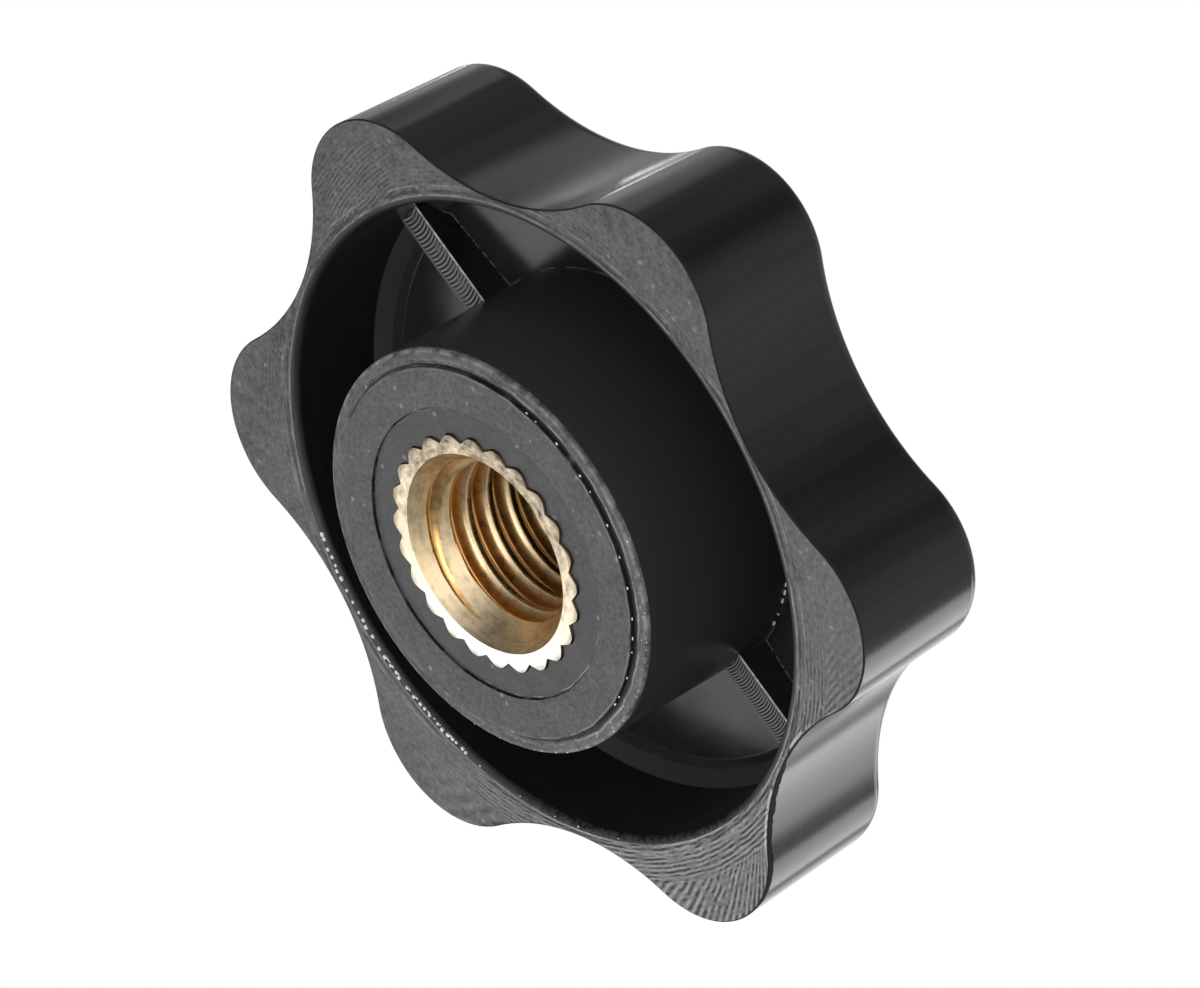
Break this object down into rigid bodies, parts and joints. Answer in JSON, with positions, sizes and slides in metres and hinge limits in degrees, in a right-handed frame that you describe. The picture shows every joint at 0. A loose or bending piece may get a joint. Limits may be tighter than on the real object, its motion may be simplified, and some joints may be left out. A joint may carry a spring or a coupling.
{
  "type": "star knob",
  "caption": "Hand knob with rounded lobes, a shallow domed top, a hollow skirt with a round hub, and a blind tapped metal insert.",
  "frame": {"origin": "centre of the hub's end face, on which the knob stands", "axes": "+Z along the knob's axis to the domed top, +X towards the middle of a lobe"},
  "size_m": [0.045, 0.0404, 0.0168],
  "materials": {
    "moulded_phenolic": "gloss as moulded, with matt machined faces under the skirt and on the hub",
    "insert_brass": "bright, as turned and tapped"
  },
  "bodies": {
    "root": {"knob_body": "moulded_phenolic", "threaded_insert": "insert_brass"}
  },
  "joints": []
}
